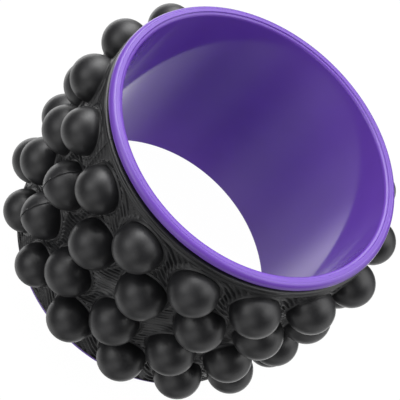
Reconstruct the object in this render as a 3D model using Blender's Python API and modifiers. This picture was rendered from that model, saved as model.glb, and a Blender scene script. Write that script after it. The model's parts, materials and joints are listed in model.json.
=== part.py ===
# Back stretcher: a small hollow roller wheel for the spine, lying on its end.
#
# A glossy purple tube of hard plastic carries a black foam pad with four
# rings of round balls. The pad is one moulded strip, wrapped once round the
# tube in a shallow seat between two low flanges, and held by a thin double
# sided tape. Its two ends meet in a straight seam along the width, which also
# parts one ball of each middle row into two halves.
#
# Units are metres. The axis of the wheel is Z, and the wheel stands on the
# flat end face at z = 0, with the origin in the middle of that face.

import math

import bmesh
import bpy
from mathutils import Matrix, Vector

# Driving sizes

# The tube
TUBE_OUTER_DIAMETER = 0.1600   # over the end flanges
TUBE_WIDTH = 0.1300            # from end face to end face
RIM_WALL = 0.0050              # wall at the two end faces
SEAT_DEPTH = 0.0016            # how far the pad's seat lies below the flanges
FLANGE_WIDTH = 0.0042          # plain band left at each end, outside the pad
OUTER_EDGE_ROUND = 0.0014      # on the outer edge of each end face
INNER_EDGE_ROUND = 0.0009      # on the edge of the bore
FACE_STEP_DEPTH = 0.0004       # shallow step turned into each end face
FACE_STEP_WIDTH = 0.0016       # how much of the wall, from the bore, it takes

# The tape and the pad
FIT_GAP = 0.0003               # left between any two pieces
TAPE_THICKNESS = 0.0004
TAPE_MARGIN = 0.0020           # tape ends this far inside the pad's edges
PAD_THICKNESS = 0.0029         # of the pad's field, between the balls
BORDER_WIDTH = 0.0042          # smooth band along each edge of the pad
BORDER_DROP = 0.0006           # how far that band lies below the field
PAD_EDGE_GAP = 0.0004          # between the pad's edge and the flange
SEAM_GAP = 0.0003              # between the two ends of the wrapped strip
SEAM_TRIM = 0.0011             # cut off one end, past the middle of its half balls

# The balls
BALL_DIAMETER = 0.0259
BALL_RISE = 0.0023             # ball's centre above the pad's field
BALLS_AROUND = 16
OUTER_ROW_OFFSET = 0.0410      # first and last row, from the middle of the width
INNER_ROW_OFFSET = 0.0158      # the two middle rows, from the middle of the width
END_BALL_SHARE = 0.92          # size of the outer balls beside the seam

# How finely round things are cut
ROUND_STEPS = 80
BALL_STEPS = 12
BALL_RINGS = 5
CORNER_STEPS = 2

# What follows from them

TUBE_RADIUS = TUBE_OUTER_DIAMETER / 2
BORE_RADIUS = TUBE_RADIUS - RIM_WALL
SEAT_RADIUS = TUBE_RADIUS - SEAT_DEPTH
TAPE_INNER = SEAT_RADIUS + FIT_GAP
TAPE_OUTER = TAPE_INNER + TAPE_THICKNESS
PAD_INNER = TAPE_OUTER + FIT_GAP
FIELD_RADIUS = PAD_INNER + PAD_THICKNESS
BORDER_RADIUS = FIELD_RADIUS - BORDER_DROP
PAD_START = FLANGE_WIDTH + PAD_EDGE_GAP
BALL_RADIUS = BALL_DIAMETER / 2
BALL_CENTRE_RADIUS = FIELD_RADIUS + BALL_RISE
MIDDLE = TUBE_WIDTH / 2
PITCH = 2 * math.pi / BALLS_AROUND
SEAM_ANGLE = -math.pi / 2      # the seam is at the side of the wheel that faces -Y

# Merge distance for turned profiles, far below any edge of the part
MERGE = 0.000001


def clear_scene():
    for thing in list(bpy.data.objects):
        bpy.data.objects.remove(thing, do_unlink=True)


def new_collection(name):
    collection = bpy.data.collections.new(name)
    bpy.context.scene.collection.children.link(collection)
    return collection


def new_material(name, colour, roughness, coat=0.0):
    material = bpy.data.materials.new(name)
    material.use_nodes = True
    shader = material.node_tree.nodes["Principled BSDF"]
    shader.inputs["Base Color"].default_value = (*colour, 1.0)
    shader.inputs["Roughness"].default_value = roughness
    shader.inputs["Metallic"].default_value = 0.0
    shader.inputs["Coat Weight"].default_value = coat
    material.diffuse_color = (*colour, 1.0)
    return material


def corner(centre, radius, start, end, steps=CORNER_STEPS):
    """Points of a quarter round in the profile plane, from start to end degrees."""
    x, z = centre
    return [
        (
            x + radius * math.cos(math.radians(start + (end - start) * i / steps)),
            z + radius * math.sin(math.radians(start + (end - start) * i / steps)),
        )
        for i in range(steps + 1)
    ]


def mirrored(points):
    """The same profile points at the other end of the wheel, in reverse order."""
    return [(x, TUBE_WIDTH - z) for x, z in reversed(points)]


def turned(name, profile, steps, closed):
    """A profile at +X, listed down its outer side, turned round Z."""
    mesh = bpy.data.meshes.new(name)
    edges = [(i, i + 1) for i in range(len(profile) - 1)]
    if closed:
        edges.append((len(profile) - 1, 0))
    mesh.from_pydata([(x, 0.0, z) for x, z in profile], edges, [])
    thing = bpy.data.objects.new(name, mesh)
    screw = thing.modifiers.new("Turn", "SCREW")
    screw.axis = "Z"
    screw.angle = 2 * math.pi
    screw.steps = steps
    screw.render_steps = steps
    screw.use_merge_vertices = True
    screw.merge_threshold = MERGE
    screw.use_smooth_shade = True
    return thing


def applied_mesh(thing):
    """The evaluated mesh of an object, as data of its own."""
    bpy.context.view_layer.update()
    graph = bpy.context.evaluated_depsgraph_get()
    return bpy.data.meshes.new_from_object(thing.evaluated_get(graph))


def place(thing, collection, material, parent=None):
    collection.objects.link(thing)
    if material is not None:
        thing.data.materials.append(material)
    if parent is not None:
        thing.parent = parent
    return thing


def tube_profile():
    """Wall of the tube: two flanges, a shallow seat between them, a plain bore."""
    edge = OUTER_EDGE_ROUND
    lip = INNER_EDGE_ROUND
    step = BORE_RADIUS + FACE_STEP_WIDTH
    # The upper half of the outer side, from the end face down to the seat
    outer = [
        (step + FACE_STEP_DEPTH, TUBE_WIDTH),
        *reversed(corner((TUBE_RADIUS - edge, TUBE_WIDTH - edge), edge, 0, 90)),
        (TUBE_RADIUS, TUBE_WIDTH - FLANGE_WIDTH),
        (SEAT_RADIUS, TUBE_WIDTH - FLANGE_WIDTH),
    ]
    # The upper half of the bore, from its middle up to the step in the end face
    inner = [
        *reversed(corner((BORE_RADIUS + lip, TUBE_WIDTH - FACE_STEP_DEPTH - lip), lip, 90, 180)),
        (step, TUBE_WIDTH - FACE_STEP_DEPTH),
    ]
    return outer + mirrored(outer) + mirrored(inner) + inner


def pad_profile():
    """Base of the pad: a smooth border along each edge, then the raised field."""
    top = TUBE_WIDTH - PAD_START
    soften = BORDER_DROP
    outer = [
        (BORDER_RADIUS - soften, top),
        (BORDER_RADIUS, top - soften),
        (BORDER_RADIUS, top - BORDER_WIDTH),
        (FIELD_RADIUS, top - BORDER_WIDTH - BORDER_DROP),
    ]
    return outer + mirrored(outer) + [(PAD_INNER, PAD_START), (PAD_INNER, top)]


def ball_profile():
    """A ball down its outer side, cut off flat inside the thickness of the pad."""
    # The flat lies deep enough to clear the fall of the round pad beside the
    # ball, and never as deep as the pad's inner face
    fall = FIELD_RADIUS - math.sqrt(FIELD_RADIUS**2 - BALL_RADIUS**2)
    depth = BALL_RISE + min(fall + 0.3 * PAD_THICKNESS, 0.75 * PAD_THICKNESS)
    last = math.acos(-depth / BALL_RADIUS)
    points = [
        (BALL_RADIUS * math.sin(last * i / BALL_RINGS), BALL_RADIUS * math.cos(last * i / BALL_RINGS))
        for i in range(BALL_RINGS + 1)
    ]
    points[0] = (0.0, BALL_RADIUS)
    return points + [(0.0, points[-1][1])]


def ball_places():
    """Every ball in the strip, from the seam round: angle, height, size and half.

    Half is 0 for a whole ball. In the middle rows the strip starts with a half
    ball on the +X side of the seam, half +1, and ends with one on the -X side,
    half -1. The trimmed end brings the balls on that side nearer to the seam.
    """
    rows = [
        (MIDDLE - OUTER_ROW_OFFSET, 0.5),
        (MIDDLE - INNER_ROW_OFFSET, 0.0),
        (MIDDLE + INNER_ROW_OFFSET, 0.0),
        (MIDDLE + OUTER_ROW_OFFSET, 0.5),
    ]
    for height, shift in rows:
        places = [shift + i for i in range(BALLS_AROUND)]
        if shift == 0:
            places.append(BALLS_AROUND)
        for place in places:
            past_middle = max(0.0, 2 * place / BALLS_AROUND - 1)
            angle = SEAM_ANGLE + place * PITCH + past_middle * SEAM_TRIM / FIELD_RADIUS
            half = {0: 1, BALLS_AROUND: -1}.get(place, 0)
            beside_seam = shift > 0 and place in (places[0], places[-1])
            yield angle, height, END_BALL_SHARE if beside_seam else 1.0, half


def halved(ball, side):
    """Cuts a standing ball along the seam, keeps one side and closes the cut."""
    keep = Vector((side, 0.0, 0.0))
    geometry = ball.verts[:] + ball.edges[:] + ball.faces[:]
    bmesh.ops.bisect_plane(
        ball, geom=geometry, plane_co=keep * SEAM_GAP / 6, plane_no=keep, clear_inner=True
    )
    open_edges = [edge for edge in ball.edges if len(edge.link_faces) == 1]
    bmesh.ops.contextual_create(ball, geom=open_edges)


def all_balls():
    """One mesh of every ball, each a closed dome standing out from the axis."""
    pattern = turned("ball_pattern", ball_profile(), BALL_STEPS, closed=False)
    bpy.context.scene.collection.objects.link(pattern)
    single = applied_mesh(pattern)
    bpy.data.objects.remove(pattern, do_unlink=True)
    everything = bmesh.new()
    mesh = bpy.data.meshes.new("balls")
    for angle, height, size, half in ball_places():
        ball = bmesh.new()
        ball.from_mesh(single)
        outward = Matrix.Rotation(angle, 4, "Z") @ Matrix.Rotation(math.pi / 2, 4, "Y")
        stand = Matrix.Translation(
            Vector((
                BALL_CENTRE_RADIUS * math.cos(angle),
                BALL_CENTRE_RADIUS * math.sin(angle),
                height,
            ))
        )
        bmesh.ops.transform(ball, matrix=stand @ outward @ Matrix.Scale(size, 4), verts=ball.verts)
        if half:
            halved(ball, half)
        ball.to_mesh(mesh)
        ball.free()
        everything.from_mesh(mesh)
    bmesh.ops.recalc_face_normals(everything, faces=everything.faces)
    everything.to_mesh(mesh)
    everything.free()
    return bpy.data.objects.new("balls", mesh)


def seam_cutter():
    """A thin flat wall along the seam, standing through the pad and its balls."""
    near = PAD_INNER - FIT_GAP / 2
    far = BALL_CENTRE_RADIUS + BALL_RADIUS + SEAM_GAP
    past = PAD_START - SEAM_GAP
    wall = bmesh.new()
    bmesh.ops.create_cube(wall, size=1.0)
    bmesh.ops.scale(wall, vec=(SEAM_GAP, far - near, TUBE_WIDTH - 2 * past), verts=wall.verts)
    bmesh.ops.translate(wall, vec=(0.0, -(near + far) / 2, MIDDLE), verts=wall.verts)
    mesh = bpy.data.meshes.new("seam_cutter")
    wall.to_mesh(mesh)
    wall.free()
    return bpy.data.objects.new("seam_cutter", mesh)


def boolean(thing, other, operation):
    modifier = thing.modifiers.new(operation.title(), "BOOLEAN")
    modifier.operation = operation
    modifier.solver = "EXACT"
    modifier.object = other
    return modifier


def as_guide(thing, collection):
    collection.objects.link(thing)
    thing.hide_render = True
    thing.display_type = "WIRE"
    return thing


def build():
    clear_scene()
    parts = new_collection("back_stretcher")
    cutters = new_collection("cutters")

    purple = new_material("purple_plastic", (0.200, 0.088, 0.560), 0.22, coat=0.4)
    clear_film = new_material("tape_film", (0.700, 0.690, 0.640), 0.60)
    black = new_material("black_foam", (0.016, 0.016, 0.018), 0.55)

    wheel = bpy.data.objects.new("wheel", None)
    parts.objects.link(wheel)

    # The tube that everything is wrapped on
    place(turned("inner_ring", tube_profile(), ROUND_STEPS, closed=True), parts, purple, wheel)

    # The tape under the pad, a plain thin sleeve
    top = TUBE_WIDTH - PAD_START - TAPE_MARGIN
    bottom = PAD_START + TAPE_MARGIN
    sleeve = [(TAPE_OUTER, top), (TAPE_OUTER, bottom), (TAPE_INNER, bottom), (TAPE_INNER, top)]
    place(turned("bonding_tape", sleeve, ROUND_STEPS, closed=True), parts, clear_film, wheel)

    # The pad: its base, joined with the balls, then parted along the seam
    pad = turned("massage_pad", pad_profile(), ROUND_STEPS, closed=True)
    place(pad, parts, black, wheel)
    boolean(pad, as_guide(all_balls(), cutters), "UNION")
    boolean(pad, as_guide(seam_cutter(), cutters), "DIFFERENCE")


build()
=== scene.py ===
# %% [markdown]
# # A back stretcher wheel
#
# The object is a small hollow wheel that is rolled under the spine. A glossy
# purple tube carries a black foam pad with four rings of round balls. The pad
# is one moulded strip that goes once round the tube, and its two ends meet in
# a straight seam, which parts one ball of each middle row into two halves.
#
# The solids of the wheel come in from the packed model, in metres, with the
# axis along Z and the back end face on the floor. This lesson makes the looks
# round them: a smooth tube, a pad with its fine grooves, the balls, the
# finishes, the floor and the light.

import json
import math

import bmesh
import bpy
from mathutils import Matrix, Vector

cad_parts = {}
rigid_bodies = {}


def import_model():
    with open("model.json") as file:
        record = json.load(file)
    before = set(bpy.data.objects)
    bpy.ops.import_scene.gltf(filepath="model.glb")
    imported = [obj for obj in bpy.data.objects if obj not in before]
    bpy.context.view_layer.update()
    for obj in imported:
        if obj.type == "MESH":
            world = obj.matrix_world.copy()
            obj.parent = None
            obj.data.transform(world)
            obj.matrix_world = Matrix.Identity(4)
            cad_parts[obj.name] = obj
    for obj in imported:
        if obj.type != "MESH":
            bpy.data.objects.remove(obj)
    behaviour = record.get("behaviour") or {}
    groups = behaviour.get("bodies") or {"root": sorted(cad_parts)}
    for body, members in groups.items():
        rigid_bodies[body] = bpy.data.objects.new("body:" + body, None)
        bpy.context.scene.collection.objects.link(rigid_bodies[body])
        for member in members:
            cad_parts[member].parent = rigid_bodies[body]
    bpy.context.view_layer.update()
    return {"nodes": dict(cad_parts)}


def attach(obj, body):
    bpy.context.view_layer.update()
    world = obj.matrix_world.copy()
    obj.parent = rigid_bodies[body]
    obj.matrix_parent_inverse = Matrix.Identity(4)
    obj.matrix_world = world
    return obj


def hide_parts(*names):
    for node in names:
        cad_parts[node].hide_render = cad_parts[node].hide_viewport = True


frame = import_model()
print("solids:", sorted(frame["nodes"]))

# %% [markdown]
# ## The camera
#
# The photograph looks down on the wheel as it lies on its end, from the side
# where the seam is, and the camera is rolled over by some 45 degrees. Its place
# was found by fitting the round edges of the tube and the middles of the balls.
# A camera can be aimed with a constraint, but here its three axes are written
# down, because a rolled camera is simplest to place that way.

# %% Place the camera
PHOTO_SIDE = 400                 # pixels along each side of the photograph
FOCAL_PIXELS = 1133.39           # focal length in those pixels
SENSOR = 36.0                    # millimetres

CAMERA_PLACE = Vector((0.245077, -0.322442, 0.522946))
CAMERA_RIGHT = Vector((0.248520, 0.850023, 0.464433))
CAMERA_UP = Vector((-0.881704, 0.0, 0.471803))
CAMERA_BACK = Vector((0.401043, -0.526745, 0.749469))

lens = bpy.data.cameras.new("photo_camera")
lens.sensor_width = SENSOR
lens.lens = FOCAL_PIXELS * SENSOR / PHOTO_SIDE
lens.clip_start = 0.01
lens.clip_end = 50.0
camera = bpy.data.objects.new("photo_camera", lens)
axes = Matrix((CAMERA_RIGHT, CAMERA_UP, CAMERA_BACK)).transposed().to_4x4()
camera.matrix_world = Matrix.Translation(CAMERA_PLACE) @ axes
bpy.context.scene.collection.objects.link(camera)
bpy.context.scene.camera = camera
print("lens:", round(lens.lens, 2), "mm")
print("camera:", round(CAMERA_PLACE.length * 1000), "mm from the wheel's foot")

# %% [markdown]
# ## Sizes that all the pieces share
#
# Nearly all of these are the sizes of the solids, so that each new piece lies
# where the old one did. The wheel is 130 mm wide, the pad's field is 82.3 mm
# from the axis, and each ball is 25.9 mm across. The outer balls beside the
# seam are a little smaller, and one end of the strip is trimmed by a
# millimetre, so the two halves of a parted ball don't quite match.
#
# Some sizes differ a little from the solids, as the photograph shows them close
# up. The front lip of the tube is 163 mm across and its rear edge 161.6 mm,
# where the solid has 160 mm. The flanges are 3.9 and 3.5 mm wide, where the
# solid has 4.2 mm. The pad starts 5.5 mm below the front face and 3.9 mm above
# the rear one, where the solid has 4.6 mm at both. The front row of balls is
# 3.5% smaller, and the seam is only 0.04 mm wide, so that no light comes
# through it.

# %% Write down the shared sizes
FULL_TURN = 2 * math.pi

WIDTH = 0.130
MIDDLE = WIDTH / 2
TUBE_RADIUS = 0.0808             # at the rear edge
LIP_RADIUS = 0.0815              # at the front lip
BORE_RADIUS = 0.075
SEAT_RADIUS = 0.0784
FRONT_FLANGE = 0.0039
REAR_FLANGE = 0.0035

PAD_INNER = 0.0794
FIELD_RADIUS = 0.0823
BORDER_RADIUS = 0.0817
FRONT_START = 0.0055             # from the front face to the pad
REAR_START = 0.0039              # from the rear face to the pad

ROWS = 4
BALLS_AROUND = 16
PITCH = FULL_TURN / BALLS_AROUND
BALL_RADIUS = 0.01295
BALL_CENTRE_RADIUS = 0.0846
OUTER_ROW = 0.0410               # from the middle of the width
INNER_ROW = 0.0158
END_BALL_SHARE = 0.92            # size of the outer balls beside the seam
FRONT_BALL_SHARE = 0.965         # size of the other balls of the front row

SEAM_ANGLE = -math.pi / 2
SEAM_GAP = 0.00004
SEAM_TRIM = 0.0011               # cut off one end of the strip
TRIM_ANGLE = SEAM_TRIM / FIELD_RADIUS
LIFTED_END = 0.0001              # how far the trimmed end of the strip sits up
LIFTED_HALF = 0.00015            # and the half balls on it
print("arc between two balls of a row:", round(PITCH * FIELD_RADIUS * 1000, 1), "mm")

# %% [markdown]
# ## Writing node sums as on paper
#
# Both the shapes and the finishes are made with nodes, and both kinds of tree
# share the Math node. Placing each one by hand makes long lists that nobody can
# read. So a small class wraps one socket and gives it plus, minus, times and
# the like: `1 - mask * 0.4` then adds the Math nodes by itself. Any other node
# comes from its one method, `add`.

# %% A socket that does sums
class Wire:
    """One output socket of a node tree, with sums that add their own nodes."""

    def __init__(self, tree, socket=None):
        self.tree = tree
        self.socket = socket

    def add(self, kind, settings=None, values=None, out=0):
        """A new node: its settings first, then a value or a wire for each socket."""
        node = self.tree.nodes.new(kind)
        for name, value in (settings or {}).items():
            setattr(node, name, value)
        for name, value in (values or {}).items():
            if isinstance(value, Wire):
                self.tree.links.new(value.socket, node.inputs[name])
            else:
                node.inputs[name].default_value = value
        return Wire(self.tree, node.outputs[out] if len(node.outputs) else None)

    def also(self, out):
        """Another output of the same node."""
        return Wire(self.tree, self.socket.node.outputs[out])

    def sum_of(self, operation, *values):
        """A Math node on any values."""
        return self.add("ShaderNodeMath", {"operation": operation}, dict(enumerate(values)))

    def maths(self, operation, *others):
        """A Math node on this wire, and on whatever else the operation needs."""
        return self.sum_of(operation, self, *others)

    def __add__(self, other):
        return self.maths("ADD", other)

    def __radd__(self, other):
        return self.sum_of("ADD", other, self)

    def __sub__(self, other):
        return self.maths("SUBTRACT", other)

    def __rsub__(self, other):
        return self.sum_of("SUBTRACT", other, self)

    def __mul__(self, other):
        return self.maths("MULTIPLY", other)

    def __truediv__(self, other):
        return self.maths("DIVIDE", other)

    def __pow__(self, other):
        return self.maths("POWER", other)

    def __neg__(self):
        return self.maths("MULTIPLY", -1.0)

    def __abs__(self):
        return self.maths("ABSOLUTE")


print("a wire knows:", [name.strip("_") for name in vars(Wire) if callable(getattr(Wire, name))])

# %% [markdown]
# A few shapes of curve come back again and again, in the grooves as well as in
# the finishes: a straight ramp that stops at 0 and 1, a soft ramp, and a small
# round bump. They are sums on wires too.

# %% Ramps and bumps
def ramp(wire, start, end):
    """0 before start, 1 after end, straight between."""
    ends = {1: start, 2: end, 3: 0.0, 4: 1.0}
    return wire.add("ShaderNodeMapRange", {"clamp": True}, {0: wire, **ends})


def soft_ramp(wire, start, end):
    """0 before start, 1 after end, with rounded corners."""
    ends = {1: start, 2: end, 3: 0.0, 4: 1.0}
    return wire.add("ShaderNodeMapRange", {"interpolation_type": "SMOOTHSTEP"}, {0: wire, **ends})


def bump_at(wire, middle, half):
    """A round bump, 1 at the middle and 0 from half its width on."""
    away = (wire - middle) / half
    return (1 - away * away).maths("MAXIMUM", 0.0) ** 2.0


print("shapes of curve:", [curve.__name__ for curve in (ramp, soft_ramp, bump_at)])

# %% [markdown]
# ## Making a plain mesh
#
# Modifiers and Geometry Nodes are the tools here, but the finished piece has to
# be a plain mesh: the evaluated object is copied into a new mesh, and the
# modifier goes. The last step merges doubles and turns all the faces outwards.
# It also counts the edges that don't lie between two faces. There should be
# none, because each piece is a closed body.

# %% Turn an object into its finished mesh
DOUBLES = 0.000003               # points nearer than this become one


def put_in_scene(name, mesh):
    """A new object with this mesh, linked to the scene."""
    thing = bpy.data.objects.new(name, mesh)
    bpy.context.scene.collection.objects.link(thing)
    return thing


def evaluated_copy(thing):
    """A plain mesh of an object with its modifiers. The object is removed."""
    bpy.context.view_layer.update()
    graph = bpy.context.evaluated_depsgraph_get()
    mesh = bpy.data.meshes.new_from_object(thing.evaluated_get(graph))
    bpy.data.objects.remove(thing, do_unlink=True)
    return mesh


def finish_mesh(mesh, name):
    """A finished piece: doubles merged, faces turned outwards and smooth."""
    work = bmesh.new()
    work.from_mesh(mesh)
    bmesh.ops.remove_doubles(work, verts=work.verts, dist=DOUBLES)
    bmesh.ops.recalc_face_normals(work, faces=work.faces)
    for face in work.faces:
        face.smooth = True
    work.to_mesh(mesh)
    open_edges = sum(1 for edge in work.edges if len(edge.link_faces) != 2)
    work.free()
    piece = put_in_scene(name, mesh)
    mesh.name = name
    triangles = sum(len(face.vertices) - 2 for face in mesh.polygons)
    print(name, "has", triangles, "triangles and", open_edges, "open edges")
    return piece


def node_object(name, tree, inputs):
    """An object whose shape comes from a tree, with the tree's inputs set first."""
    thing = put_in_scene(name, bpy.data.meshes.new(name))
    modifier = thing.modifiers.new(name, "NODES")
    modifier.node_group = tree
    for item in tree.interface.items_tree:
        if item.item_type == "SOCKET" and item.in_out == "INPUT" and item.name in inputs:
            modifier[item.identifier] = inputs[item.name]
    return thing


def shape_tree(name, sizes):
    """A Geometry Nodes tree with named inputs for its sizes, and a wire for each."""
    tree = bpy.data.node_groups.new(name, "GeometryNodeTree")
    for label, (kind, value) in sizes.items():
        socket = tree.interface.new_socket(label, in_out="INPUT", socket_type=kind)
        if value is not None:
            socket.default_value = value
    tree.interface.new_socket("Geometry", in_out="OUTPUT", socket_type="NodeSocketGeometry")
    start = Wire(tree)
    inputs = start.add("NodeGroupInput")
    return tree, start, {label: inputs.also(label) for label in sizes}


def hand_out(shape, material):
    """The last nodes of a tree: real geometry, with its material."""
    real = shape.add("GeometryNodeRealizeInstances", values={"Geometry": shape})
    values = {"Geometry": real, "Material": material}
    painted = real.add("GeometryNodeSetMaterial", values=values)
    painted.add("NodeGroupOutput", values={"Geometry": painted})


print("points nearer than", DOUBLES * 1000, "mm become one")

# %% [markdown]
# ## The tube
#
# The real tube is moulded in hard glossy plastic. Its front face is only some
# 6 mm wide, but it is the brightest part of the photograph, and has three
# forms in it: a broad round lip on the outside, a fine turned line where the
# lip begins, and a shallow step before the edge of the bore. At the rear end
# only a narrow edge shows. The pad lies in a seat between the two flanges.
#
# A tube can be made from two cylinders, but a profile turned round the axis
# keeps every line exactly round, and one list of points holds the whole shape.
# The solid has flat facets, so the smooth tube replaces it.

# %% Draw the tube's profile
ROUND_STEPS = 288
OUTER_STEPS = 16                 # round the outer edge
UNDER_STEPS = 6                  # round the edge under the flange
BORE_STEPS = 9                   # round the edge of the bore
BORE_EDGE = 0.0016               # radius of the edge of the bore
STEP_DROP = 0.0007               # depth of the step beside it
BORE_RINGS = (0.030, 0.006, 0.003)   # depths of the rings that keep the bore even

# Radius of the outer edge and of the edge under the flange
FRONT_EDGES = (0.0030, 0.0008)
REAR_EDGES = (0.0010, 0.0004)

# The step up to the flat of the end face: distance from the axis, and depth
STEP_POINTS = (
    (0.07668, STEP_DROP - 0.00003),
    (0.07690, 0.00020),
    (0.07702, 0.00004),
    (0.07714, 0.0),
    (0.07730, 0.0),
)
# The fine turned line, counted outwards from the end of the flat, and its depth
LINE_POINTS = (
    (-0.00005, 0.0),
    (0.00005, 0.0),
    (0.00018, 0.00014),
    (0.00034, 0.00016),
)
LINE_END = 0.00047               # where it meets the rounded outer edge
# From the flange down into the pad's seat: out from the seat, and down
SEAT_POINTS = ((0.0002, 0.0), (0.0, 0.0002), (0.0, 0.004))


def round_corner(centre, radius, start, end, steps):
    """Points of a round corner, from start to end degrees."""
    turns = [math.radians(start + (end - start) * i / steps) for i in range(steps + 1)]
    return [(centre[0] + radius * math.cos(t), centre[1] + radius * math.sin(t)) for t in turns]


def mirrored(points):
    """The same points at the other end of the wheel, in reverse order."""
    return [(x, WIDTH - z) for x, z in reversed(points)]


def end_of_tube(radius, edges, flange):
    """One end of the wall, from the bore edge out to the pad's seat."""
    outer_edge, under_edge = edges
    flat_end = radius - outer_edge
    under = WIDTH - flange
    face = [(x, WIDTH - depth) for x, depth in STEP_POINTS]
    line = [(flat_end + x, WIDTH - depth) for x, depth in LINE_POINTS]
    line_turn = math.degrees(math.acos(LINE_END / outer_edge))
    outer_middle = (flat_end, WIDTH - outer_edge)
    under_middle = (radius - under_edge, under + under_edge)
    rounding = round_corner(outer_middle, outer_edge, line_turn, 0, OUTER_STEPS)
    lower = round_corner(under_middle, under_edge, 0, -90, UNDER_STEPS)
    seat = [(SEAT_RADIUS + x, under - down) for x, down in SEAT_POINTS]
    return face + line + rounding + lower + seat


def tube_profile():
    """The wall of the tube, down its outer side and up the bore."""
    front = end_of_tube(LIP_RADIUS, FRONT_EDGES, FRONT_FLANGE)
    rear = end_of_tube(TUBE_RADIUS, REAR_EDGES, REAR_FLANGE)
    middle = (BORE_RADIUS + BORE_EDGE, WIDTH - STEP_DROP - BORE_EDGE)
    bore = [(BORE_RADIUS, WIDTH - depth) for depth in BORE_RINGS]
    bore = bore + round_corner(middle, BORE_EDGE, 180, 90, BORE_STEPS)
    return front + mirrored(rear) + mirrored(bore) + bore


profile = tube_profile()
print("points in the tube's profile:", len(profile))

# %% Turn it round the axis
TURN_MERGE = 0.000001            # joins the last step of the turn to the first


def turned(name, points, steps):
    """A closed profile at +X, turned once round Z by a Screw modifier."""
    mesh = bpy.data.meshes.new(name)
    count = len(points)
    edges = [(i, (i + 1) % count) for i in range(count)]
    mesh.from_pydata([(x, 0.0, z) for x, z in points], edges, [])
    thing = put_in_scene(name, mesh)
    screw = thing.modifiers.new("turn", "SCREW")
    screw.axis = "Z"
    screw.angle = FULL_TURN
    screw.steps = steps
    screw.render_steps = steps
    screw.use_merge_vertices = True
    screw.merge_threshold = TURN_MERGE
    return thing


tube = finish_mesh(evaluated_copy(turned("tube", profile, ROUND_STEPS)), "tube")

# %% [markdown]
# ## The pad
#
# The pad is one strip of moulded foam. Along the front edge it has a smooth
# border about 4 mm wide with two fine lines in it, then a low ridge, and then
# the field. Fine grooves cover the field and run out to the rear edge. They all
# follow the same wave round the wheel, one wave for each ball, so that they
# bend round the balls. They lie 2.8 mm apart in the middle of the strip and
# 3.3 mm apart near its edges.
#
# Such a surface could be carved by a displacement texture, but that needs a
# very dense mesh everywhere. Instead the rows of the mesh follow the waves
# themselves, so that every groove gets rows of its own and stays crisp. The
# strip's ends are the first and last column of the mesh, and the columns lie
# closer together there, for the rounded edges of the seam.
#
# The shape follows a rule from end to end, so Geometry Nodes make it. Each row
# and column number becomes a place round and across the wheel, and one sum
# gives the height there.

# %% Plan the rows and columns of the strip
# How many columns or rows each part has, and how long or wide it is. The part
# without a size takes what the others leave
COLUMN_PARTS = ((6, 0.0008), (26, 0.0130), (480, None), (26, 0.0130), (6, 0.0008))
ROW_PARTS = ((7, 0.0006), (14, 0.0030), (256, None), (28, 0.0045), (7, 0.0006))
EDGE_ROWS = ROW_PARTS[0][0]      # in the rounded edge along either side
INNER_ROWS = 12                  # on the inner face

PAD_FRONT = WIDTH - FRONT_START
STRIP_LENGTH = FULL_TURN * FIELD_RADIUS - SEAM_GAP
STRIP_WIDTH = PAD_FRONT - REAR_START


def filled_in(parts, whole):
    """The same parts, with the open one taking what the others leave."""
    rest = whole - sum(size for _, size in parts if size)
    return [(count, size or rest) for count, size in parts]


columns = filled_in(COLUMN_PARTS, STRIP_LENGTH)
rows = filled_in(ROW_PARTS, STRIP_WIDTH)
COLUMN_COUNT = sum(count for count, _ in columns)
ROW_COUNT = sum(count for count, _ in rows)
ALL_ROWS = ROW_COUNT + INNER_ROWS
main_count, main_size = rows[2]
print(COLUMN_COUNT, "columns by", ROW_COUNT, "rows")
print("the main rows are", round(main_size / main_count * 1000, 2), "mm apart")

# %% Find places on the strip
def place_along(number, parts):
    """How far along the strip a row or column lies, from its number."""
    start, place = 0, 0.0
    for count, size in parts:
        place = ramp(number, start, start + count) * size + place
        start += count
    return place


def past_middle(place):
    """0 on the first half of the strip, then rising to 1 at its trimmed end."""
    return (place / (BALLS_AROUND / 2) - 1).maths("MAXIMUM", 0.0)


def side_of(place):
    """How far to the side of the nearest ball a place lies, in metres."""
    return (place.maths("FRACT") - 0.5) * (PITCH * FIELD_RADIUS)


def distance(one, two):
    return (one * one + two * two).maths("SQRT")


def on_wheel(radius, angle, height):
    """A place, from its distance to the axis, its angle and its height."""
    x = radius * angle.maths("COSINE")
    y = radius * angle.maths("SINE")
    return height.add("ShaderNodeCombineXYZ", values={0: x, 1: y, 2: height})


print("parts along the strip:", len(columns), "and across it:", len(rows))

# %% [markdown]
# The photograph shows some fine forms on the strip, beside the grooves. Two
# lines and a low ridge run along the front border, and the field falls a little
# towards them. The inner line stands up on the first part of the strip, and
# lies sunk on the rest. The grooves fade beside a ball's collar, and are
# shallow where the seam cuts them.

# %% Write down the fine forms
# Lines along the front border: distance from the pad's front edge, half the
# width, and height
EDGE_LINE = (0.0008, 0.0006, 0.00034)
RAISED_LINE = (0.0026, 0.0005, 0.00050)
SUNK_LINE = (0.0028, 0.0005, -0.00055)
LOW_RIDGE = (0.0041, 0.0006, 0.00030)

# Where each change begins and ends. The first four are distances from the
# pad's front edge: the step up to the field, the first grooves, the rows that
# ride on the wave, and the fall of the field
BORDER_STEP = (0.0032, 0.0038)
FIELD_FRONT = (0.0042, 0.0048)
RIDE_FRONT = (0.0038, 0.0134)
FALL_REACH = (0.0150, 0.0030)
FIELD_REAR = (0.0008, 0.0013)    # first grooves, from the rear edge
RIDE_REAR = (0.0004, 0.0100)     # riding rows, from the rear edge
RIDE_ENDS = (0.012, 0.030)       # riding rows, from the strip's ends
COLLAR_CLEAR = (0.0002, 0.0012)  # grooves, from a ball's collar
LINE_SINKS = (0.048, 0.062)      # the inner line, along the strip
GROOVE_SIDES = (0.32, 0.97)      # parts of the swing from groove to ridge

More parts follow.
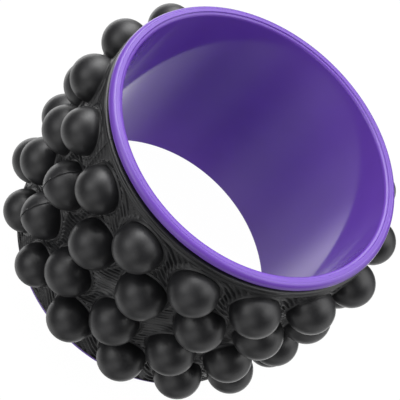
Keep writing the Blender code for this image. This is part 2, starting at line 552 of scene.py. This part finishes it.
GROOVE_REACH = 0.048             # height from the middle where the edge sizes hold
FIELD_FALL = 0.0006              # how far the field falls towards the border
SHALLOW_REACH = 0.0016           # the grooves get shallow this near to the seam
SHALLOW_SHARE = 0.2              # and keep this share of their depth at it
END_REACH = 0.0004               # length of the rounding at the strip's ends
END_FALL = 0.0002                # and its depth
LIFTED_REACH = 0.016             # length of the part that sits up
EDGE_CURVE = 0.6                 # below 1, the strip's edges are fuller than a sine
SAME_PLACE = 0.000002            # points nearer than this are merged in the tree


def line_along(edge, line):
    """The height of a line, from the distance to the pad's front edge."""
    middle, half, height = line
    return bump_at(edge, middle, half) * height


print("the sunk line is", round(-SUNK_LINE[2] * 1000, 2), "mm deep")

# %% The tree of the pad
def pad_tree():
    sizes = {
        "Field radius": ("NodeSocketFloat", FIELD_RADIUS),
        "Border radius": ("NodeSocketFloat", BORDER_RADIUS),
        "Inner radius": ("NodeSocketFloat", PAD_INNER),
        "Groove depth": ("NodeSocketFloat", 0.0015),
        "Middle spacing": ("NodeSocketFloat", 0.00276),
        "Edge spacing": ("NodeSocketFloat", 0.00333),
        "Groove start": ("NodeSocketFloat", 0.293),
        "Middle wave": ("NodeSocketFloat", 0.0037),
        "Edge wave": ("NodeSocketFloat", 0.0046),
        "Ball collar": ("NodeSocketFloat", 0.0138),
        "Lifted end": ("NodeSocketFloat", LIFTED_END),
        "Material": ("NodeSocketMaterial", None),
    }
    tree, start, size = shape_tree("pad_shape", sizes)

    grid = start.add("GeometryNodeMeshGrid", values={
        "Size X": COLUMN_COUNT,
        "Size Y": ALL_ROWS,
        "Vertices X": COLUMN_COUNT + 1,
        "Vertices Y": ALL_ROWS + 1,
    })
    spot = start.add("GeometryNodeInputPosition")
    split = start.add("ShaderNodeSeparateXYZ", values={0: spot})
    column = (split + COLUMN_COUNT / 2).maths("ROUND")
    row = (split.also("Y") + ALL_ROWS / 2).maths("ROUND")

    # Place round the wheel, from the seam
    arc = place_along(column, columns)
    from_end = arc.maths("MINIMUM", STRIP_LENGTH - arc)
    angle = (arc + SEAM_GAP / 2) / FIELD_RADIUS + SEAM_ANGLE

    # The same place counted in balls of a middle row
    place = (angle - SEAM_ANGLE) / PITCH
    place = place - past_middle(place) * (TRIM_ANGLE / PITCH)

    # Place across the wheel: up on the outer side, and down on the inner face
    flat_height = place_along(row, rows) + REAR_START
    flat_height = flat_height - ramp(row, ROW_COUNT, ALL_ROWS) * STRIP_WIDTH

    # The rows ride on the wave, away from all edges
    outward = ((flat_height - MIDDLE) / GROOVE_REACH) ** 2.0
    wave_size = size["Middle wave"] + outward * (size["Edge wave"] - size["Middle wave"])
    wave = -(place * FULL_TURN).maths("SINE") * wave_size
    ride = soft_ramp(flat_height - REAR_START, *RIDE_REAR) * soft_ramp(from_end, *RIDE_ENDS)
    ride = ride * soft_ramp(PAD_FRONT - flat_height, *RIDE_FRONT)
    ride = ride * (1 - ramp(row, ROW_COUNT, ROW_COUNT + 1))
    height = flat_height + wave * ride
    edge = PAD_FRONT - height

    # Distance to the nearest ball, for the smooth collar round it
    level = abs(height - MIDDLE)
    beside_seam = abs(place - BALLS_AROUND / 2).maths("GREATER_THAN", BALLS_AROUND / 2 - 1)
    to_outer = distance(side_of(place), level - OUTER_ROW)
    to_outer = to_outer + beside_seam * ((1 - END_BALL_SHARE) * BALL_RADIUS)
    to_inner = distance(side_of(place + 0.5), level - INNER_ROW)
    to_ball = to_outer.maths("MINIMUM", to_inner)

    # The grooves: valleys between rounded ridges
    widening = (size["Edge spacing"] - size["Middle spacing"]) / GROOVE_REACH ** 2
    across = (height - wave - MIDDLE) * (widening / size["Middle spacing"]) ** 0.5
    count = across.maths("ARCTANGENT") / (widening * size["Middle spacing"]) ** 0.5
    count = count - size["Groove start"]
    swing = (count * FULL_TURN).maths("COSINE") * 0.5 + 0.5
    field = soft_ramp(edge, *FIELD_FRONT) * soft_ramp(height - REAR_START, *FIELD_REAR)
    field = field * soft_ramp(to_ball - size["Ball collar"], *COLLAR_CLEAR)
    groove = (1 - soft_ramp(swing, *GROOVE_SIDES)) * field

    # The front border, the step up to the field, and the grooves cut into it
    step = soft_ramp(edge, *BORDER_STEP)
    sunk = soft_ramp(arc, *LINE_SINKS)
    falling = ramp(edge, *FALL_REACH)
    outer = size["Border radius"] + step * (size["Field radius"] - size["Border radius"])
    outer = outer - falling * falling * step * FIELD_FALL
    outer = outer + line_along(edge, LOW_RIDGE)
    outer = outer + line_along(edge, EDGE_LINE)
    outer = outer + line_along(edge, SUNK_LINE) * sunk
    outer = outer + line_along(edge, RAISED_LINE) * (1 - sunk)
    shallow = soft_ramp(from_end, 0.0, SHALLOW_REACH) * (1 - SHALLOW_SHARE) + SHALLOW_SHARE
    outer = outer - groove * shallow * size["Groove depth"]

    # The strip's ends are rounded, and the trimmed one sits up a little
    near_end = 1 - ramp(from_end, 0.0, END_REACH)
    outer = outer - (1 - (1 - near_end ** 2.0) ** 0.5) * END_FALL
    lifted = 1 - soft_ramp(STRIP_LENGTH - arc, 0.0, LIFTED_REACH)
    outer = outer + lifted * size["Lifted end"]

    # The strip's two sides are rounded too, down to the inner face
    rise = ramp(row, 0.0, EDGE_ROWS) * ramp(ROW_COUNT - row, 0.0, EDGE_ROWS)
    rise = (rise * (math.pi / 2)).maths("SINE") ** EDGE_CURVE
    radius = size["Inner radius"] + (outer - size["Inner radius"]) * rise

    place_in_space = on_wheel(radius, angle, height)
    values = {"Geometry": grid, "Position": place_in_space}
    shape = start.add("GeometryNodeSetPosition", values=values)
    # The groove and ridge masks go to the foam's finish, which paints shade into the grooves and
    # a highlight onto the ridges
    for name, mask in (("groove", groove), ("ridge", field - groove)):
        shape = start.add(
            "GeometryNodeStoreNamedAttribute",
            {"data_type": "FLOAT", "domain": "POINT"},
            {"Geometry": shape, "Name": name, "Value": mask},
        )
    values = {"Geometry": shape, "Distance": SAME_PLACE}
    hand_out(start.add("GeometryNodeMergeByDistance", values=values), size["Material"])
    return tree


pad_shape = pad_tree()
print("nodes in the pad's tree:", len(pad_shape.nodes))

# %% [markdown]
# The ends of the strip are still open, because a grid has no caps. Each end is
# a loop of points: the outer ones, that follow the grooves, and a few inner
# ones. Walking up both sides together closes the end with small flat faces.

# %% Make the pad and close its ends
INNER_LIMIT = PAD_INNER + 0.0001     # points inside this lie on the inner face
LEVEL_ENOUGH = 0.0000001             # difference in height that doesn't count

black_foam = bpy.data.materials.new("black_foam")


def close_end(work, loop):
    """Fills an end of the strip between its outer and its inner points."""
    upwards = sorted(loop, key=lambda v: v.co.z)
    outer = [v for v in upwards if v.co.xy.length > INNER_LIMIT]
    inner = [v for v in upwards if v.co.xy.length <= INNER_LIMIT]
    i = 0
    for low, high in zip(inner, inner[1:]):
        part = [outer[i]]
        top = high.co.z + LEVEL_ENOUGH
        last = high is inner[-1]
        while i + 1 < len(outer) and (last or outer[i + 1].co.z <= top):
            i += 1
            part.append(outer[i])
        work.faces.new([low] + part + [high])
    return len(inner) - 1


def make_pad():
    thing = node_object("pad_field", pad_shape, {"Material": black_foam})
    mesh = evaluated_copy(thing)
    work = bmesh.new()
    work.from_mesh(mesh)
    open_verts = {v for edge in work.edges if len(edge.link_faces) == 1 for v in edge.verts}
    for side in (1, -1):
        loop = [v for v in open_verts if v.co.x * side > 0]
        print("faces in an end of the strip:", close_end(work, loop))
    work.to_mesh(mesh)
    work.free()
    return finish_mesh(mesh, "pad_field")


pad_field = make_pad()

# %% [markdown]
# ## The balls
#
# The balls are smooth and round, moulded in one with the pad. Round the foot of
# each is a plain collar with a thin raised bead, and a narrow gap between bead
# and ball that reads as a black line.
#
# A UV sphere pushed into the pad would have its poles at the side and no
# collar. So one ball is built as rings of points, from its top down to the
# collar, which is bent to the round of the wheel. Geometry Nodes then stand it
# on its 62 places. Two more balls lie on the seam, and are made of halves.

# %% Build one ball with its collar
BALL_STEPS = 40
BALL_RINGS = 15
FOOT_DEPTH = 0.0004              # how far below the field a ball's foot lies
FOOT_RANGE = (0.5, math.pi)      # angles between which it is looked for
HALVINGS = 50                    # of that range
# How far out from the ball's foot each ring of the collar lies, and its height
# against the field
COLLAR = (
    (0.00018, -0.00062),
    (0.00044, -0.00064),
    (0.00062, 0.00004),
    (0.00076, 0.00040),
    (0.00094, 0.00046),
    (0.00112, 0.00028),
    (0.00130, 0.00002),
    (0.00150, -0.00006),
    (0.00170, -0.00008),
    (0.00182, -0.00030),
    (0.00186, -0.00180),
)


def foot_of_ball(around):
    """How far down a ball its foot lies in one direction, as an angle from its top."""
    level = FIELD_RADIUS - FOOT_DEPTH
    low, high = FOOT_RANGE
    for _ in range(HALVINGS):
        down = (low + high) / 2
        x = BALL_CENTRE_RADIUS + BALL_RADIUS * math.cos(down)
        y = BALL_RADIUS * math.sin(down) * math.cos(around)
        if math.hypot(x, y) > level:
            low = down
        else:
            high = down
    return low


def ball_pattern():
    """A closed ball and collar round the origin, which stands out along +X."""
    work = bmesh.new()
    top = work.verts.new((BALL_CENTRE_RADIUS + BALL_RADIUS, 0.0, 0.0))
    spokes = []
    for step in range(BALL_STEPS):
        around = FULL_TURN * step / BALL_STEPS
        foot = foot_of_ball(around)
        spoke = []
        for ring in range(1, BALL_RINGS + 1):
            down = foot * ring / BALL_RINGS
            x = BALL_CENTRE_RADIUS + BALL_RADIUS * math.cos(down)
            out = BALL_RADIUS * math.sin(down)
            spoke.append((x, out * math.cos(around), out * math.sin(around)))
        x, y, z = spoke[-1]
        arc = math.atan2(y, x) * FIELD_RADIUS
        far = math.hypot(arc, z)
        for out, rise in COLLAR:
            share = (far + out) / far
            turn = arc * share / FIELD_RADIUS
            level = FIELD_RADIUS + rise
            spoke.append((level * math.cos(turn), level * math.sin(turn), z * share))
        spokes.append([work.verts.new(spot) for spot in spoke])
    under = work.verts.new((FIELD_RADIUS + COLLAR[-1][1], 0.0, 0.0))
    for one, two in zip(spokes, spokes[1:] + spokes[:1]):
        work.faces.new((top, one[0], two[0]))
        for i in range(len(one) - 1):
            work.faces.new((one[i], one[i + 1], two[i + 1], two[i]))
        work.faces.new((one[-1], under, two[-1]))
    bmesh.ops.translate(work, verts=work.verts, vec=(-BALL_CENTRE_RADIUS, 0.0, 0.0))
    bmesh.ops.recalc_face_normals(work, faces=work.faces)
    mesh = bpy.data.meshes.new("ball_pattern")
    work.to_mesh(mesh)
    work.free()
    print("one ball has", len(mesh.polygons), "faces")
    return bpy.data.objects.new("ball_pattern", mesh)


pattern = ball_pattern()

# %% The tree that stands the balls
def ball_tree():
    sizes = {
        "Ball": ("NodeSocketObject", None),
        "Balls around": ("NodeSocketInt", BALLS_AROUND),
        "Outer row": ("NodeSocketFloat", OUTER_ROW),
        "Inner row": ("NodeSocketFloat", INNER_ROW),
        "Centre radius": ("NodeSocketFloat", BALL_CENTRE_RADIUS),
        "Size beside seam": ("NodeSocketFloat", END_BALL_SHARE),
        "Size in front": ("NodeSocketFloat", FRONT_BALL_SHARE),
        "Material": ("NodeSocketMaterial", None),
    }
    tree, start, size = shape_tree("ball_places", sizes)
    around = size["Balls around"]
    number = start.add("GeometryNodeInputIndex")
    row = (number / around).maths("FLOOR")
    place = number - row * around

    # Rows 0 and 3 are the outer ones, half a pitch on. Rows 1 and 2 are the
    # inner ones, whose first ball lies on the seam and is left out
    side = row - (ROWS - 1) / 2
    outer = abs(side).maths("GREATER_THAN", 1.0)
    whole = outer.maths("MAXIMUM", place)
    place = place + outer * 0.5
    beside = outer * abs(place - around / 2).maths("GREATER_THAN", around / 2 - 1)
    front = (1 - beside) * row.maths("GREATER_THAN", ROWS - 1.5)
    share = 1 - beside * (1 - size["Size beside seam"])
    share = share - front * (1 - size["Size in front"])

    # A smaller ball sits lower, so that its collar still lies on the pad
    offset = size["Inner row"] + outer * (size["Outer row"] - size["Inner row"])
    height = side.maths("SIGN") * offset + MIDDLE
    radius = size["Centre radius"] - (1 - share) * (BALL_CENTRE_RADIUS - FIELD_RADIUS)
    angle = place * PITCH + past_middle(place) * TRIM_ANGLE + SEAM_ANGLE
    values = {"Count": around * ROWS, "Position": on_wheel(radius, angle, height)}
    spots = start.add("GeometryNodePoints", values=values)
    ball = start.add(
        "GeometryNodeObjectInfo",
        {"transform_space": "ORIGINAL"},
        {"Object": size["Ball"]},
        out="Geometry",
    )
    stood = start.add("GeometryNodeInstanceOnPoints", values={
        "Points": spots,
        "Selection": whole,
        "Instance": ball,
        "Rotation": start.add("ShaderNodeCombineXYZ", values={2: angle}),
        "Scale": start.add("ShaderNodeCombineXYZ", values={0: share, 1: share, 2: share}),
    })
    hand_out(stood, size["Material"])
    return tree


ball_places = ball_tree()
print("nodes in the tree of the balls:", len(ball_places.nodes))

# %% [markdown]
# A ball on the seam is cut by it. Each half is cut from the same pattern, its
# cut is closed, and the sharp edge all round the cut is bevelled, so that the
# two halves meet in a soft crease. The half at the trimmed end has its middle a
# millimetre past the seam, and stands a little proud.

# %% Cut the half balls and join all of them
CREASE_ROUND = 0.0004            # bevel round a cut
CREASE_STEPS = 3


def half_ball(side, height):
    """One half of a ball on the seam, on its +X side or its -X side."""
    trimmed = side < 0
    angle = SEAM_ANGLE + (TRIM_ANGLE if trimmed else 0.0)
    radius = BALL_CENTRE_RADIUS + (LIFTED_HALF if trimmed else 0.0)
    work = bmesh.new()
    work.from_mesh(pattern.data)
    middle = Matrix.Translation((radius * math.cos(angle), radius * math.sin(angle), height))
    turned_there = middle @ Matrix.Rotation(angle, 4, "Z")
    bmesh.ops.transform(work, matrix=turned_there, verts=work.verts)
    keep = Vector((side, 0.0, 0.0))
    bmesh.ops.bisect_plane(
        work,
        geom=work.verts[:] + work.edges[:] + work.faces[:],
        plane_co=keep * SEAM_GAP / 2,
        plane_no=keep,
        clear_inner=True,
    )
    cut = [edge for edge in work.edges if len(edge.link_faces) == 1]
    bmesh.ops.contextual_create(work, geom=cut)
    shown = [edge for edge in cut if edge.is_valid and edge.verts[0].co.xy.length > FIELD_RADIUS]
    bmesh.ops.bevel(
        work,
        geom=shown,
        offset=CREASE_ROUND,
        segments=CREASE_STEPS,
        profile=0.5,
        affect="EDGES",
    )
    return work


def make_balls():
    inputs = {"Ball": pattern, "Material": black_foam}
    mesh = evaluated_copy(node_object("pad_balls", ball_places, inputs))
    joined = bmesh.new()
    joined.from_mesh(mesh)
    part = bpy.data.meshes.new("half_ball")
    for height in (MIDDLE - INNER_ROW, MIDDLE + INNER_ROW):
        for side in (1, -1):
            half = half_ball(side, height)
            half.to_mesh(part)
            half.free()
            joined.from_mesh(part)
    joined.to_mesh(mesh)
    joined.free()
    bpy.data.objects.remove(pattern, do_unlink=True)
    return finish_mesh(mesh, "pad_balls")


pad_balls = make_balls()

# %% [markdown]
# ## The finishes
#
# Three finishes cover the wheel: glossy purple plastic, black foam with a fine
# skin, and the film of the thin tape, which lies hidden under the pad. Each is
# a Principled shader whose colour, roughness and bump vary a little, as real
# mouldings do; the foam's colour also carries painted shade in the grooves and a
# painted highlight on the ridges. Sizes are in metres on Object coordinates, so
# a noise scale of 1000 makes spots a millimetre wide.

# %% Start a finish
CLOUDS = (0.35, 0.65)            # a soft ramp over this part of a noise makes clouds


def new_finish(material, settings):
    """A cleared tree with its shader, and a wire that carries Object coordinates."""
    material.use_nodes = True
    tree = material.node_tree
    tree.nodes.clear()
    start = Wire(tree)
    shader = start.add("ShaderNodeBsdfPrincipled", values=settings)
    start.add("ShaderNodeOutputMaterial", values={"Surface": shader})
    place = start.add("ShaderNodeTexCoord").also("Object")
    return shader, place


def noise(place, scale, detail=2.0, roughness=0.5):
    return place.add(
        "ShaderNodeTexNoise",
        values={"Vector": place, "Scale": scale, "Detail": detail, "Roughness": roughness},
    )


def grey(level):
    return (level, level, level, 1.0)


def mix_colours(factor, first, second):
    """A mix of two colours, which are sockets 6 and 7 of the node."""
    return factor.add(
        "ShaderNodeMix",
        {"data_type": "RGBA"},
        {0: factor, 6: first, 7: second},
        out=2,
    )


def feed(shader, name, wire):
    """Links a wire to one of the shader's own sockets."""
    shader.tree.links.new(wire.socket, shader.socket.node.inputs[name])


def feed_bump(shader, height, strength, distance):
    """Lets the shader look as if the surface had this height."""
    values = {"Strength": strength, "Distance": distance, "Height": height}
    feed(shader, "Normal", height.add("ShaderNodeBump", values=values))


def put_on(piece, material):
    """Makes this the only material of a piece."""
    piece.data.materials.clear()
    piece.data.materials.append(material)


print("a cloud fades over", round(CLOUDS[1] - CLOUDS[0], 2), "of a noise")

# %% [markdown]
# ### Purple plastic
#
# The tube is moulded in a clear bright violet, with a high gloss. The colour is
# nearly even, with a faint cloud in it, and the gloss is a little duller in
# patches, as where hands have held it. A very low, wide bump bends the
# reflections slightly, as on any moulded tube, and keeps it from looking like
# glass.

# %% Mix the purple plastic
VIOLETS = ((0.168, 0.070, 0.462, 1.0), (0.184, 0.078, 0.498, 1.0))
PLASTIC_ROUGHNESS = 0.09
WORN_ROUGHNESS = 0.03            # comes on top in the duller patches
WORN_PART = (0.45, 0.75)         # the part of a noise where the patches begin


def purple_plastic():
    material = bpy.data.materials.new("purple_plastic")
    shader, place = new_finish(material, {"IOR": 1.5})
    cloud = soft_ramp(noise(place, 18.0, detail=3.0), *CLOUDS)
    feed(shader, "Base Color", mix_colours(cloud, *VIOLETS))
    wear = soft_ramp(noise(place, 60.0, detail=3.0, roughness=0.6), *WORN_PART)
    feed(shader, "Roughness", PLASTIC_ROUGHNESS + wear * WORN_ROUGHNESS)
    feed_bump(shader, noise(place, 26.0, detail=1.0), strength=0.1, distance=0.001)
    return material


purple = purple_plastic()
put_on(tube, purple)
print("finish of the tube:", purple.name)

# %% [markdown]
# ### Black foam
#
# The pad is closed foam with a moulded skin: black, half matt, and very finely
# pebbled, with a thin harder coat that sharpens its highlights. The ridges get a
# lighter black as a painted highlight, where they catch the light. The grooves
# get a near black as painted shade, and are duller. The black isn't quite even:
# it drifts between two blacks.

# %% Mix the black foam
BLACKS = ((0.009, 0.009, 0.0105, 1.0), (0.013, 0.013, 0.015, 1.0))
# Painted highlight: the lighter black that the ridges get, where they catch the light
RIDGE_HIGHLIGHT_BLACK = (0.052, 0.052, 0.054, 1.0)
# Painted shade: the near black that fills the grooves
GROOVE_SHADE_BLACK = grey(0.003)
FOAM_ROUGHNESS = 0.46
# How much each of these adds to the roughness
DRIFT_SHARE = 0.10
GRAIN_SHARE = 0.06
GROOVE_SHARE = 0.35


def foam_skin(material):
    shader, place = new_finish(material, {
        "IOR": 1.5,
        "Specular IOR Level": 0.5,
        "Coat Weight": 0.35,
        "Coat Roughness": 0.25,
    })
    drift = noise(place, 70.0, detail=3.0, roughness=0.6)
    grain = noise(place, 1500.0, detail=3.0, roughness=0.6)
    groove = place.add("ShaderNodeAttribute", {"attribute_name": "groove"}, out="Fac")
    ridge = place.add("ShaderNodeAttribute", {"attribute_name": "ridge"}, out="Fac")
    colour = mix_colours(soft_ramp(drift, *CLOUDS), *BLACKS)
    # Painted highlight: the ridges turn a lighter black
    colour = mix_colours(ridge, colour, RIDGE_HIGHLIGHT_BLACK)
    # Painted shade: the grooves turn nearly black
    colour = mix_colours(groove, colour, GROOVE_SHADE_BLACK)
    feed(shader, "Base Color", colour)
    roughness = FOAM_ROUGHNESS + (drift - 0.5) * DRIFT_SHARE + (grain - 0.5) * GRAIN_SHARE
    feed(shader, "Roughness", roughness + groove * GROOVE_SHARE)
    feed_bump(shader, grain, strength=0.35, distance=0.0002)


foam_skin(black_foam)
for piece in (pad_field, pad_balls):
    put_on(piece, black_foam)
print("finish of the pad and balls:", black_foam.name)

# %% [markdown]
# ### The tape under the pad
#
# The tape is a thin smoky film. It keeps its own solid, and only its finish is
# made here: faintly crinkled, as laid tape is.

# %% Mix the tape film
SMOKES = ((0.030, 0.029, 0.028, 1.0), (0.060, 0.058, 0.054, 1.0))
FILM_ROUGHNESS = 0.45
CRINKLE_SHARE = 0.2              # how much the crinkles add to the roughness


def tape_film():
    material = bpy.data.materials.new("tape_film_finish")
    shader, place = new_finish(material, {"IOR": 1.45})
    crinkle = noise(place, 260.0, detail=4.0, roughness=0.6)
    feed(shader, "Base Color", mix_colours(crinkle, *SMOKES))
    feed(shader, "Roughness", FILM_ROUGHNESS + crinkle * CRINKLE_SHARE)
    feed_bump(shader, crinkle, strength=0.4, distance=0.0002)
    return material


tape = frame["nodes"]["bonding_tape"]
film = tape_film()
for slot in tape.material_slots:
    slot.material = film
print("finish of the tape:", film.name)

# %% [markdown]
# ## Fixing the pieces to the wheel
#
# Nothing on the wheel moves, so every piece rides on its one body. The smooth
# tube stands for the faceted one, and the grooved pad and the balls stand for
# the plain pad.

# %% Fix them
for piece in (tube, pad_field, pad_balls):
    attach(piece, "root")
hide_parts("inner_ring")
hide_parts("massage_pad")
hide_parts("massage_pad")
print("pieces that ride on the body:", [piece.name for piece in (tube, pad_field, pad_balls)])

# %% [markdown]
# ## Floor and light
#
# The photograph has a clean white ground without a shadow, as on a lightbox. A
# white floor alone turns grey under soft light, so its material glows. It is
# also hidden from the wheel's own rays, because a bright sheet right under the
# wheel would fill the bore with light that the photograph doesn't have.

# %% Lay the floor
FLOOR_REACH = 3.0                # from the wheel to each side of the floor
FLOOR_SQUARES = 8                # along each side
FLOOR_DROP = 0.0002              # how far it lies below the wheel


def floor_finish():
    material = bpy.data.materials.new("studio_floor")
    shader, place = new_finish(material, {
        "Roughness": 0.9,
        "Specular IOR Level": 0.0,
        "Emission Strength": 1.0,
    })
    soft = noise(place, 3.0)
    feed(shader, "Base Color", mix_colours(soft, grey(0.020), grey(0.022)))
    feed(shader, "Emission Color", mix_colours(soft, grey(0.985), grey(0.995)))
    return material


def lay_floor():
    work = bmesh.new()
    squares = {"x_segments": FLOOR_SQUARES, "y_segments": FLOOR_SQUARES}
    bmesh.ops.create_grid(work, size=FLOOR_REACH, **squares)
    bmesh.ops.translate(work, verts=work.verts, vec=(0.0, 0.0, -FLOOR_DROP))
    mesh = bpy.data.meshes.new("studio_floor")
    work.to_mesh(mesh)
    work.free()
    floor = put_in_scene("studio_floor", mesh)
    put_on(floor, floor_finish())
    floor.visible_diffuse = False
    floor.visible_glossy = False
    floor.visible_shadow = False


lay_floor()
print("the floor reaches", FLOOR_REACH, "m to each side")

# %% [markdown]
# Product photographs are taken in a tent of white cloth, with lamps outside it.
# Each lamp makes one soft patch of light on the cloth, wide and without an edge.
# Area lights would show as hard squares in the glossy bore, so the tent is
# painted on the world instead: one round lobe for each lamp, brightest in its
# middle. The list was found by fitting the light on the balls and in the bore.

# %% Hang the lamps round the tent
LAMPS = (
    # degrees round from the front, degrees up, strength
    (280, 54, 6.45),
    (248, 37, 5.74),
    (143, 59, 2.96),
    (353, 21, 2.95),
    (255, -16, 2.29),
    (195, 47, 1.90),
    (275, -37, 1.90),
    (190, -43, 1.88),
    (228, 70, 1.86),
    (163, 31, 1.60),
    (45, 13, 1.54),
    (150, -1, 1.44),
    (333, 43, 1.25),
    (33, -18, 1.24),
    (85, -26, 1.08),
    (295, -70, 0.99),
    (20, -59, 0.98),
    (158, -64, 0.95),
    (118, -13, 0.91),
    (138, -34, 0.72),
    (328, -47, 0.63),
    (25, 34, 0.29),
)
LAMP_SHARPNESS = 19.0            # a higher value makes every patch smaller


def direction_of(round_angle, up_angle):
    """A unit vector towards a lamp."""
    turn, lift = math.radians(round_angle), math.radians(up_angle)
    return (math.sin(turn) * math.cos(lift), -math.cos(turn) * math.cos(lift), math.sin(lift))


def hang_tent():
    world = bpy.data.worlds.new("light_tent")
    world.use_nodes = True
    world.node_tree.nodes.clear()
    sky = Wire(world.node_tree)
    looking = sky.add("ShaderNodeTexCoord")
    total = None
    for round_angle, up_angle, strength in LAMPS:
        along = looking.add(
            "ShaderNodeVectorMath",
            {"operation": "DOT_PRODUCT"},
            {0: looking, 1: direction_of(round_angle, up_angle)},
            out="Value",
        )
        lobe = ((along - 1) * LAMP_SHARPNESS).maths("EXPONENT") * strength
        total = lobe if total is None else total + lobe
    glow = sky.add("ShaderNodeBackground", values={"Strength": total})
    sky.add("ShaderNodeOutputWorld", values={"Surface": glow})
    return world


bpy.context.scene.world = hang_tent()
bpy.context.scene.view_settings.view_transform = "Standard"
print("lamps round the tent:", len(LAMPS))

# %% [markdown]
